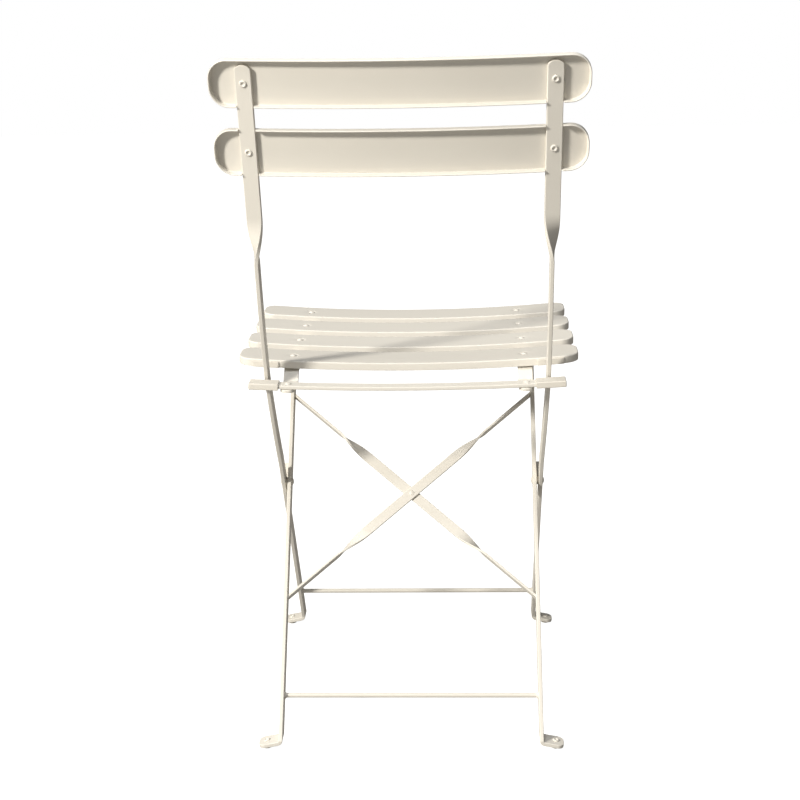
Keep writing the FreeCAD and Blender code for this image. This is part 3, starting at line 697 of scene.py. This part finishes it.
def addSlats():
    rivets = [-layout["railHalf"], layout["railHalf"]]
    points, faces = slatShape(seatRadius, layout["seatSlatWidth"], layout["seatCorner"], [], rivets)
    for number in range(1, 5):
        node = "seat_slat_%d" % number
        middle = Vector((0, centreOf(node).y, layout["seatLow"]))
        addPiece("seatSlat%d" % number, "seat", slatPaint, [node], [([p + middle for p in points], faces)],
                 crease=60)
    wall = slatForm["wall"]
    web = dish(backRadius + wall, layout["uprightHalf"]) - wall
    forward = layout["barThick"] / 2 / math.cos(uprightTurn) - web
    for index, (name, node, sides) in enumerate((("upperBackSlat", "upper_back_slat", (-1,)),
                                                 ("lowerBackSlat", "lower_back_slat", (1, -1)))):
        notches = [(s * layout["uprightHalf"], side) for s in (-1, 1) for side in sides]
        points, faces = slatShape(backRadius, layout["backSlatWidth"], layout["backCorner"], notches, [])
        origin = backRow(index) + topFront * forward
        moved = [origin + sideways * p.x + topUp * p.y + topFront * p.z for p in points]
        addPiece(name, "backrest_frame", slatPaint, [node], [(moved, faces)], crease=60)


addSlats()
print("slats pressed")


# Flat bars

footForm = {
    "glideShow": 3.5,
    "bendInside": 2.0,
    "slope": 11.0,
    "reach": 26.7,
    "corner": 8.0,
    "glideOffset": 17.5,
    "straightAbove": 14,
}
barForm = {
    "edge": 0.9,
    "tipFlat": 0.2,
    "twistDrop": 80.7,
    "twistLength": 50,
    "twistEase": 3.0,
    "crown": 4.5,
    "shoulder": 2.0,
    "endBelowSlat": 6.3,
    "braceWidth": 13,
    "braceThick": 3,
    "braceEdge": 0.765,
    "braceTop": 367.0,
    "braceBottom": 150.5,
    "braceEdgeOn": 85,
    "braceTwist": 44,
    "braceEase": 2.5,
}
barSize = (layout["barWidth"], layout["barThick"], barForm["edge"])


def footLevel():
    form = footForm
    slope = math.radians(form["slope"])
    turn = form["bendInside"] + layout["barThick"]
    run = form["glideOffset"] - layout["barThick"] / 2 - form["bendInside"] + turn * math.sin(slope)
    return form["glideShow"] + turn * math.cos(slope) + run * math.tan(slope)


def legStations(x, up):
    # From the tip of the tab inwards and round the bend, to where the straight bar starts
    form = footForm
    slope = math.radians(form["slope"])
    edge = barForm["edge"]
    level = footLevel()
    width = layout["barWidth"] / abs(up.z)
    thick = layout["barThick"]
    middle = form["bendInside"] + thick / 2
    axis = Vector((x + thick / 2 + form["bendInside"], onLeg(up, level).y, level))
    out = Vector((math.cos(slope), 0, -math.sin(slope)))
    normal = Vector((math.sin(slope), 0, math.cos(slope)))
    start = axis - normal * middle
    tip = start + out * ((x + form["reach"] - start.x) / out.x)
    stations = roundedEnd(tip, -out, -backwards, -normal, width, thick, edge, form["corner"])
    for i in range(9):
        angle = math.radians((90 - form["slope"]) * (1 - i / 8))
        through = Vector((-math.cos(angle), 0, -math.sin(angle)))
        stations.append((axis + through * middle, -backwards, through, width, thick, edge))
    above = onLeg(up, level + form["straightAbove"]) + sideways * stations[-1][0].x
    stations.append((above, squareTo(up), -sideways, *barSize))
    return stations


def uprightStations():
    wide = layout["frontHalf"] + layout["spread"]
    stations = legStations(layout["frontHalf"], frontUp)
    lowest = pivot.z + layout["spreadRise"]
    middle = onLeg(frontUp, lowest) + sideways * layout["frontHalf"]
    stations.append((middle, frontFront, -sideways, *barSize))
    inwards = (topUp - frontUp).normalized()
    centre = bendPoint + inwards * (layout["bendRadius"] / math.cos(bendAngle / 2))
    for i in range(25):
        angle = bendAngle * i / 24
        front = squareTo(frontUp * math.cos(angle) + frontFront * math.sin(angle))
        middle = centre - front * layout["bendRadius"]
        share = min((middle.z - lowest) / (bendPoint.z - lowest), 1)
        x = layout["frontHalf"] + layout["spread"] * share
        stations.append((middle + sideways * x, front, -sideways, *barSize))
    early = barForm["twistEase"]                           # the twist eases in and out over this length
    length = barForm["twistLength"] + 2 * early
    start = (backRow(1) - bendPoint).dot(topUp) - barForm["twistDrop"] - length + early
    for i in range(25):
        share = i / 24
        eased = 0.55 * share + 0.45 * smoothStep(share)
        angle = eased * (math.pi / 2 - uprightTurn)
        shift = wide + (layout["uprightHalf"] - wide) * smoothStep(share)
        middle = bendPoint + topUp * (start + length * share) + sideways * shift
        across = topFront * math.cos(angle) + sideways * math.sin(angle)
        through = topFront * math.sin(angle) - sideways * math.cos(angle)
        stations.append((middle, across, through, *barSize))
    tip = backRow(0) + topUp * (layout["backSlatWidth"] / 2 - barForm["endBelowSlat"])
    tip += sideways * layout["uprightHalf"]
    end = crownedEnd(tip, -topUp, across, through, *barSize, barForm["crown"], barForm["shoulder"])
    return stations + end[::-1]


def rearLegStations():
    half = layout["barWidth"] / 2
    tip = onLeg(rearUp, centreOf("seat_hinge_pins").z) + rearUp * half + sideways * layout["rearHalf"]
    end = roundedEnd(tip, -rearUp, rearFront, -sideways, *barSize, half - barForm["tipFlat"])
    return legStations(layout["rearHalf"], rearUp) + end[::-1]


def braceBar(sign, lift):
    form = barForm
    normal = -rearFront
    inner = layout["rearHalf"] - layout["barThick"] / 2
    top = onLeg(rearUp, form["braceTop"]) + sideways * (sign * inner)
    bottom = onLeg(rearUp, form["braceBottom"]) - sideways * (sign * inner)
    along = (bottom - top).normalized()
    flat = normal.cross(along) * -sign
    length = (bottom - top).length
    ease = form["braceEase"]
    places = [(0.0, 0), (length, 0)]
    for i in range(17):
        share = i / 16
        reach = form["braceEdgeOn"] - ease + (form["braceTwist"] + 2 * ease) * share
        eased = 0.6 * share + 0.4 * smoothStep(share)
        places += [(reach, eased), (length - reach, eased)]
    stations = []
    for distance, share in sorted(places):
        angle = share * math.pi / 2
        across = normal * math.cos(angle) + flat * math.sin(angle)
        through = flat * math.cos(angle) - normal * math.sin(angle)
        centre = top + along * distance + normal * (lift * share * form["braceThick"] / 2)
        stations.append((centre, across, through, form["braceWidth"], form["braceThick"], form["braceEdge"]))
    points, faces = sweep(stations)
    count = len(points) // len(stations)
    for first, wallX in ((0, sign * inner), (len(points) - count, -sign * inner)):
        for i in range(first, first + count):              # the ends lie flat on the legs
            points[i] = points[i] + along * ((wallX - points[i].x) / along.x)
    return points, faces


def addBars():
    addPair("Upright", "backrest_frame", barPaint, "upright_and_front_leg", [sweep(uprightStations())])
    addPair("RearLeg", "rear_leg_frame", barPaint, "rear_leg", [sweep(rearLegStations())])
    addPiece("braceBarA", "rear_leg_frame", barPaint, ["brace_bar_a"], [braceBar(-1, 1)])
    addPiece("braceBarB", "rear_leg_frame", barPaint, ["brace_bar_b"], [braceBar(1, -1)])


addBars()
print("legs, uprights and brace bent")


# Rods between the legs, with their welds

rodForm = {
    "radius": 3,
    "frontHeight": 62,
    "rearHeight": 53,
    "bead": 1.7,
}


def rodShape(half, middle):
    radius = rodForm["radius"]
    profile = [(radius, half * share) for share in (0, 0.5, 1, 1.5, 2)]
    return [lathe(middle - sideways * half, sideways, profile, segments=28)]


def beadShape(half, rodMiddle):
    # A ring of weld metal at each end of the rod, a little uneven as a hand weld is
    radius = rodForm["radius"]
    bead = rodForm["bead"]
    profile = [(radius + bead, 0), (radius + bead * 0.93, bead * 0.3), (radius + bead * 0.62, bead * 0.72),
               (radius + bead * 0.25, bead * 1.1), (radius - 0.1, bead * 1.5)]
    parts = []
    for sign in (-1, 1):
        middle = rodMiddle + sideways * (sign * half)
        points, faces = lathe(middle, -sideways * sign, profile, segments=36)
        uneven = []
        for p in points:
            away = p - middle
            around = math.atan2(away.z, away.y)
            swell = 1 + 0.05 * math.sin(5 * around + sign) + 0.035 * math.sin(11 * around + 2)
            uneven.append(middle + Vector((away.x, away.y * swell, away.z * swell)))
        parts.append((uneven, faces))
    return parts


def addRods():
    for end, body, legUp in legEnds:
        half = layout[end + "Half"] - layout["barThick"] / 2
        middle = onLeg(legUp, rodForm[end + "Height"])
        addPiece(end + "Rod", body, rodPaint, [end + "_stretcher"], rodShape(half, middle))
        addPiece(end + "RodWelds", body, weldPaint, [], beadShape(half, middle))


addRods()
print("rods welded in")


# The seat's frame

seatForm = {
    "railWidth": 18,
    "railThick": 4,
    "edge": 0.8,
    "railTipFlat": 0.6,
    "bend": 5.0,
    "dropStart": 6,
    "dropRun": 15,
    "earThick": 3,
    "earEdge": 0.6,
    "earCorner": 2.0,
    "earTipFlat": 0.3,
    "earBend": 2.5,
    "earStraight": 0.98,
    "earGap": 1.3,
    "rearRailDrop": 18.9,
    "rearRailThick": 4.5,
    "rearRailEdge": 1.0,
    "rearRailDish": 5,
    "rearRailHalf": 186.8,
}


def roundedPath(corners, radius, steps=7):
    # Points and tangents along a path in one plane, with its inner corners rounded
    path = [(corners[0], (corners[1] - corners[0]).normalized())]
    for before, here, after in zip(corners, corners[1:], corners[2:]):
        a = (here - before).normalized()
        b = (after - here).normalized()
        angle = a.angle(b)
        first = here - a * (radius * math.tan(angle / 2))
        side = (b - a * a.dot(b)).normalized()
        centre = first + side * radius
        for i in range(steps + 1):
            t = angle * i / steps
            path.append((centre - side * (radius * math.cos(t)) + a * (radius * math.sin(t)),
                         a * math.cos(t) + side * math.sin(t)))
    path.append((corners[-1], (corners[-1] - corners[-2]).normalized()))
    return path


def seatRailShape():
    form = seatForm
    size = (form["railWidth"], form["railThick"], form["edge"])
    low, high = boxOf("left_seat_rail")
    half = form["railThick"] / 2
    top = high.z - half
    bottom = low.z + half
    drop = boxOf("seat_slat_1")[1].y - form["dropStart"]
    line = ((low.y, top), (drop, top), (drop + form["dropRun"], bottom), (high.y, bottom))
    path = roundedPath([Vector(((low.x + high.x) / 2, y, z)) for y, z in line], form["bend"])
    front, toe = path[0], path[-1]
    radius = form["railWidth"] / 2 - form["railTipFlat"]
    stations = roundedEnd(front[0], front[1], sideways, upwards, *size, radius)
    for place, along in path[1:-1]:
        stations.append((place, sideways, -along.cross(sideways), *size))
    return sweep(stations + roundedEnd(toe[0], -toe[1], sideways, upwards, *size, radius)[::-1])


def earShape():
    # An angle under the rail: flat below it, then round its bend and down to the hinge pin
    form = seatForm
    width = form["railWidth"]
    size = (width, form["earThick"], form["earEdge"])
    low, high = boxOf("left_hinge_ear")
    hinge = centreOf("seat_hinge_pins")
    rowY = centreOf("seat_slat_3").y
    half = form["earThick"] / 2
    x = high.x - half
    flat = Vector((low.x, rowY, high.z - half))
    stations = roundedEnd(flat, sideways, backwards, upwards, *size, form["earCorner"])
    middle = form["earBend"] + half
    centre = Vector((x - middle, rowY, high.z - half - middle))
    for i in range(9):
        angle = math.pi / 2 * i / 8
        out = Vector((math.sin(angle), 0, math.cos(angle)))
        stations.append((centre + out * middle, backwards, out, *size))
    straight = Vector((0, hinge.y - rowY, hinge.z - centre.z)) * form["earStraight"]
    stations.append((centre + sideways * middle + straight, backwards, sideways, *size))
    tip = Vector((x, hinge.y, hinge.z - width / 2))
    end = roundedEnd(tip, upwards, backwards, sideways, *size, width / 2 - form["earTipFlat"])
    return sweep(stations + end[::-1])


def railStation(x, y, width, thick, edge):
    # A section of the rear rail or of its sleeve, square to the rail's arc
    form = seatForm
    drop = form["rearRailDrop"]
    radius = dishRadius(form["rearRailHalf"], form["rearRailDish"]) + drop
    z = layout["seatLow"] + dish(radius, x) - drop
    slope = math.asin(x / radius)
    return Vector((x, y, z)), backwards, Vector((-math.sin(slope), 0, math.cos(slope))), width, thick, edge


def rearRailShape():
    form = seatForm
    low, high = boxOf("rear_rail")
    size = ((low.y + high.y) / 2, high.y - low.y, form["rearRailThick"], form["rearRailEdge"])
    return sweep([railStation(form["rearRailHalf"] * (-1 + 2 * i / 48), *size) for i in range(49)])


def addSeatFrame():
    addPair("SeatRail", "seat", barPaint, "seat_rail", [seatRailShape()])
    addPair("HingeEar", "seat", barPaint, "hinge_ear", [earShape()])
    addPiece("rearRail", "seat", barPaint, ["rear_rail"], [rearRailShape()])


addSeatFrame()
print("seat frame bent")


# Moulded plastic: sleeves, pads and glides

plasticForm = {
    "sleeveLength": 35.3,
    "sleeveWall": 1.7,
    "sleeveEdge": 1.3,
    "mouthFlare": 0.35,
    "mouthEdge": 1.0,
    "padEdge": 0.6,
    "padTop": 2.0,
    "padBottom": 9.5,
    "pegInset": 8,
    "pegRadius": 1.6,
    "pegLength": 3.4,
    "glideRadius": 6.0,
    "glideChamfer": 0.8,
}


def sleeveShape():
    # A flat cap over the rear rail's end: closed outside, hollow at its mouth
    form = plasticForm
    low, high = boxOf("left_sleeve")
    wide = high.y - low.y
    thick = seatForm["rearRailThick"] + 2 * form["sleeveWall"]
    edge = form["sleeveEdge"]
    inner = form["mouthEdge"]
    hollow = 2 * form["sleeveWall"]
    mouth = high.x - form["sleeveLength"]
    rows = []                                              # (place, how much narrower, edge radius)
    for d in (0, 0.08, 0.22, 0.45, 0.75, 1.0):             # outer end, rounded in both directions
        rows.append((high.x - edge * d, 2 * edge * (1 - math.sqrt(max(1 - (1 - d) ** 2, 0))), edge))
    rows += [(high.x + (mouth - high.x) * share, 0, edge) for share in (0.2, 0.4, 0.6, 0.8, 0.97)]
    rows += [(mouth + 0.15, 0.1, edge), (mouth, 0.45, edge), (mouth, hollow - 2 * form["mouthFlare"], inner),
             (mouth + 1.4, hollow - 0.3, inner), (mouth + 9, hollow - 0.1, inner)]
    y = (low.y + high.y) / 2
    return sweep([railStation(x, y, wide - less, thick - less, bend) for x, less, bend in rows])


def padShape():
    # A small plate moulded to the slat's rear flange, held by two pegs that show as dots inside the tray
    form = plasticForm
    low, high = boxOf("left_slat_pad")
    back = boxOf("seat_slat_1")[1].y
    top = form["padTop"]
    bottom = form["padBottom"]
    edge = form["padEdge"]
    rows = [(low.x, edge), (low.x + edge * 0.3, edge * 0.3)]
    rows += [(low.x + edge + (high.x - low.x - 2 * edge) * i / 14, 0) for i in range(15)]
    rows += [(high.x - edge * 0.3, edge * 0.3), (high.x, edge)]
    stations = []
    for x, less in rows:
        z = layout["seatLow"] + (dish(seatRadius + top, x) - top + dish(seatRadius + bottom, x) - bottom) / 2
        stations.append((Vector((x, (back + high.y) / 2, z)), upwards, backwards,
                         bottom - top - 2 * less, high.y - back - 1.6 * less, edge))
    parts = [sweep(stations)]
    radius = form["pegRadius"]
    length = form["pegLength"]
    profile = [(radius, 0), (radius, length - 0.8), (radius - 0.1, length - 0.3),
               (radius - 0.5, length - 0.1), (0.01, length)]
    for x in (low.x + form["pegInset"], high.x - form["pegInset"]):
        foot = Vector((x, back + 0.3, layout["seatLow"] + dish(seatRadius, x) - (top + bottom) / 2))
        parts.append(lathe(foot, -backwards, profile, segments=20))
    return parts


def glideShape(x, up):
    # A small round foot under the tab; its top follows the tab's slope
    foot = footForm
    slope = math.tan(math.radians(foot["slope"]))
    middle = Vector((x + foot["glideOffset"], onLeg(up, footLevel()).y, 0))
    radius = plasticForm["glideRadius"]
    chamfer = plasticForm["glideChamfer"]
    profile = [(radius - 2 * chamfer, 0), (radius - chamfer, 0), (radius - 0.3, 0.28), (radius, chamfer),
               (radius, 2.0), (radius, "top")]
    segments = 36
    points = []
    for ring, height in profile:
        for i in range(segments):
            angle = 2 * math.pi * i / segments
            px = ring * math.cos(angle)
            z = foot["glideShow"] - px * slope if height == "top" else height
            points.append(middle + Vector((px, ring * math.sin(angle), z)))
    return points, ringFaces(len(profile), segments)


def addPlastic():
    addPair("Sleeve", "seat", sleevePlastic, "sleeve", [sleeveShape()])
    addPair("Pad", "seat", sleevePlastic, "slat_pad", padShape())
    for end, body, legUp in legEnds:
        addPiece(end + "Glides", body, glidePlastic, [end + "_glides"],
                 joinMirrored([glideShape(layout[end + "Half"], legUp)]))


addPlastic()
print("plastic parts moulded")


# Rivets, pins, washers and stops

rivetForm = {
    "head": 4.2,
    "height": 1.8,
    "shank": 2.5,
    "sunk": 0.25,
    "seatHeadShare": 0.95,
    "glideHeadShare": 0.92,
    "pivotHead": 5.6,
    "pivotHeight": 2.2,
    "pivotShank": 3.5,
    "braceHead": 3.6,
    "braceHeight": 0.8,
    "washer": 5.5,
    "washerGap": 0.05,
    "spacer": 5.0,
    "faceGap": 0.15,
}


def domeHead(radius, height, steps=8):
    # Profile of a plain domed head from its rim to its crown
    ball = (radius ** 2 + height ** 2) / (2 * height)
    wide = math.asin(min(radius / ball, 1))
    profile = [(radius - 0.15, 0), (radius, 0.18)]
    for i in range(steps + 1):
        angle = wide * (1 - i / steps) * 0.97
        profile.append((ball * math.sin(angle), ball * math.cos(angle) - ball + height))
    return profile


def cupHead(radius, height):
    # A tubular rivet's rolled head: a ring with a hollow in its middle
    shares = ((0.96, 0.42), (0.87, 0.7), (0.75, 0.86), (0.62, 0.86), (0.52, 0.74), (0.42, 0.48), (0.31, 0.2),
              (0.18, 0.1))
    return ([(radius - 0.1, 0), (radius, 0.25)] + [(radius * r, height * h) for r, h in shares]
            + [(0.05, height * 0.08)])


plainDome = domeHead(rivetForm["head"], rivetForm["height"])
plainCup = cupHead(rivetForm["head"], rivetForm["height"])


def headOn(foot, axis, profile):
    return lathe(foot, axis, [(profile[0][0], -rivetForm["sunk"])] + profile, segments=36)


def shankBetween(a, b, radius):
    return lathe(a, (b - a).normalized(), [(radius, 0), (radius, (b - a).length)], segments=24)


def rivetBetween(a, b, shank, headA, headB):
    axis = (b - a).normalized()
    return [shankBetween(a, b, shank), headOn(b, axis, headB), headOn(a, -axis, headA)]


def tubeShape(foot, axis, tall, outer, inner, chamfer, rise):
    return lathe(foot, axis, [(inner, 0), (outer - chamfer, 0), (outer, rise), (outer, tall - rise),
                              (outer - chamfer, tall), (inner, tall)])


def addBackRivets():
    thick = layout["barThick"]
    axis = topFront * math.cos(uprightTurn) - sideways * math.sin(uprightTurn)
    parts = []
    for index in range(2):
        row = backRow(index) + sideways * layout["uprightHalf"]
        parts += rivetBetween(row - axis * (thick / 2), row + axis * (thick / 2 + slatForm["wall"]),
                              rivetForm["shank"], plainCup, plainDome)
    addPiece("backSlatRivets", "backrest_frame", rivetPaint, ["back_slat_rivets"], joinMirrored(parts))


def addSeatRivets():
    form = rivetForm
    railTop = boxOf("left_seat_rail")[1].z
    tall = boxOf("seat_slat_spacers")[1].z - railTop
    x = layout["railHalf"]
    top = layout["seatLow"] + dish(seatRadius, x) - slatForm["dimple"]
    seatHead = domeHead(form["head"] * form["seatHeadShare"], form["height"])
    rivets = []
    spacers = []
    for number in range(1, 5):
        place = Vector((x, centreOf("seat_slat_%d" % number).y, 0))
        under = railTop - seatForm["railThick"] - (seatForm["earThick"] if number == 3 else 0)
        rivets += rivetBetween(place + upwards * under, place + upwards * top, form["shank"],
                               plainCup, seatHead)
        spacers.append(tubeShape(place + upwards * railTop, upwards, tall, form["spacer"], form["shank"],
                                 0.3, 0.3))
    addPiece("seatSlatRivets", "seat", rivetPaint, ["seat_slat_rivets"], joinMirrored(rivets))
    addPiece("seatSlatSpacers", "seat", washerPaint, ["seat_slat_spacers"], joinMirrored(spacers))

    low, high = boxOf("rear_rail_rivets")
    y = centreOf("rear_rail").y
    parts = rivetBetween(Vector((x, y, low.z + form["height"])), Vector((x, y, high.z - form["height"])),
                         form["shank"], plainCup, plainDome)
    addPiece("rearRailRivets", "seat", rivetPaint, ["rear_rail_rivets"], joinMirrored(parts))


def addLegRivets():
    form = rivetForm
    middle = onLeg(rearUp, (barForm["braceTop"] + barForm["braceBottom"]) / 2)
    reach = rearFront * barForm["braceThick"]
    head = domeHead(form["braceHead"], form["braceHeight"])
    addPiece("braceRivet", "rear_leg_frame", rivetPaint, ["brace_rivet"],
             rivetBetween(middle + reach, middle - reach, form["shank"], head, head))

    thick = layout["barThick"]
    slope = math.radians(footForm["slope"])
    normal = Vector((math.sin(slope), 0, math.cos(slope)))
    tabTop = footForm["glideShow"] + thick / math.cos(slope)
    head = cupHead(form["head"] * form["glideHeadShare"], form["height"])
    for end, body, legUp in legEnds:
        top = Vector((layout[end + "Half"] + footForm["glideOffset"], onLeg(legUp, footLevel()).y, tabTop))
        bottom = top - normal * thick - upwards
        addPiece(end + "GlideRivets", body, rivetPaint, [end + "_glide_rivets"],
                 joinMirrored([shankBetween(bottom, top, form["shank"]), headOn(top, normal, head)]))


def addPins():
    form = rivetForm
    half = layout["barThick"] / 2
    rear = layout["rearHalf"]
    earFace = rear - half - seatForm["earGap"]
    head = domeHead(form["pivotHead"], form["pivotHeight"])
    for name, body, node, inner in (
            ("pivotRivets", "backrest_frame", "pivot_rivets", rear - half - form["faceGap"]),
            ("seatHingePins", "seat", "seat_hinge_pins", earFace - seatForm["earThick"])):
        place = centreOf(node)
        outer = boxOf(node)[1].x - form["pivotHeight"]
        parts = rivetBetween(Vector((inner, place.y, place.z)), Vector((outer, place.y, place.z)),
                             form["pivotShank"], head, head)
        addPiece(name, body, rivetPaint, [node], joinMirrored(parts))
    for name, body, node, inner in (
            ("pivotSpacers", "backrest_frame", "pivot_spacers", rear + half + form["faceGap"]),
            ("seatHingeWashers", "seat", "seat_hinge_washers", earFace)):
        place = centreOf(node)
        ring = tubeShape(Vector((inner, place.y, place.z)), sideways, boxOf(node)[1].x - inner,
                         form["washer"], form["pivotShank"] + form["washerGap"], 0.25, 0.22)
        addPiece(name, body, washerPaint, [node], joinMirrored([ring]))


stopForm = {
    "length": 22,
    "depth": 3.5,
    "inset": 0.5,
    "gap": 0.3,
    "edge": 0.7,
}


def stopShape():
    # A small block on the rear leg's front edge, where the front leg comes to rest
    form = stopForm
    spread = math.radians(layout["rearLean"] + layout["frontLean"])
    half = layout["barWidth"] / 2
    start = (half + form["gap"] - half * math.cos(spread)) / math.sin(spread)
    x0 = layout["rearHalf"] - layout["barThick"] / 2 + form["inset"]
    x1 = layout["frontHalf"] + layout["barThick"] / 2 - form["inset"]
    middle = pivot + rearFront * (half + form["depth"] / 2) + sideways * ((x0 + x1) / 2)
    edge = form["edge"]
    ends = ((0, edge), (0.1, edge * 0.55), (0.3, edge * 0.25), (edge, 0))
    rows = [(start + d, less) for d, less in ends]
    rows += [(start + form["length"] - d, less) for d, less in ends[::-1]]
    return sweep([(middle + rearUp * d, rearFront, -sideways, form["depth"] - 2 * less,
                   x1 - x0 - 2 * less, edge) for d, less in rows])


addBackRivets()
addSeatRivets()
addLegRivets()
addPins()
addPiece("openingStops", "rear_leg_frame", barPaint, ["opening_stops"], joinMirrored([stopShape()]))
print("rivets, pins and stops set")
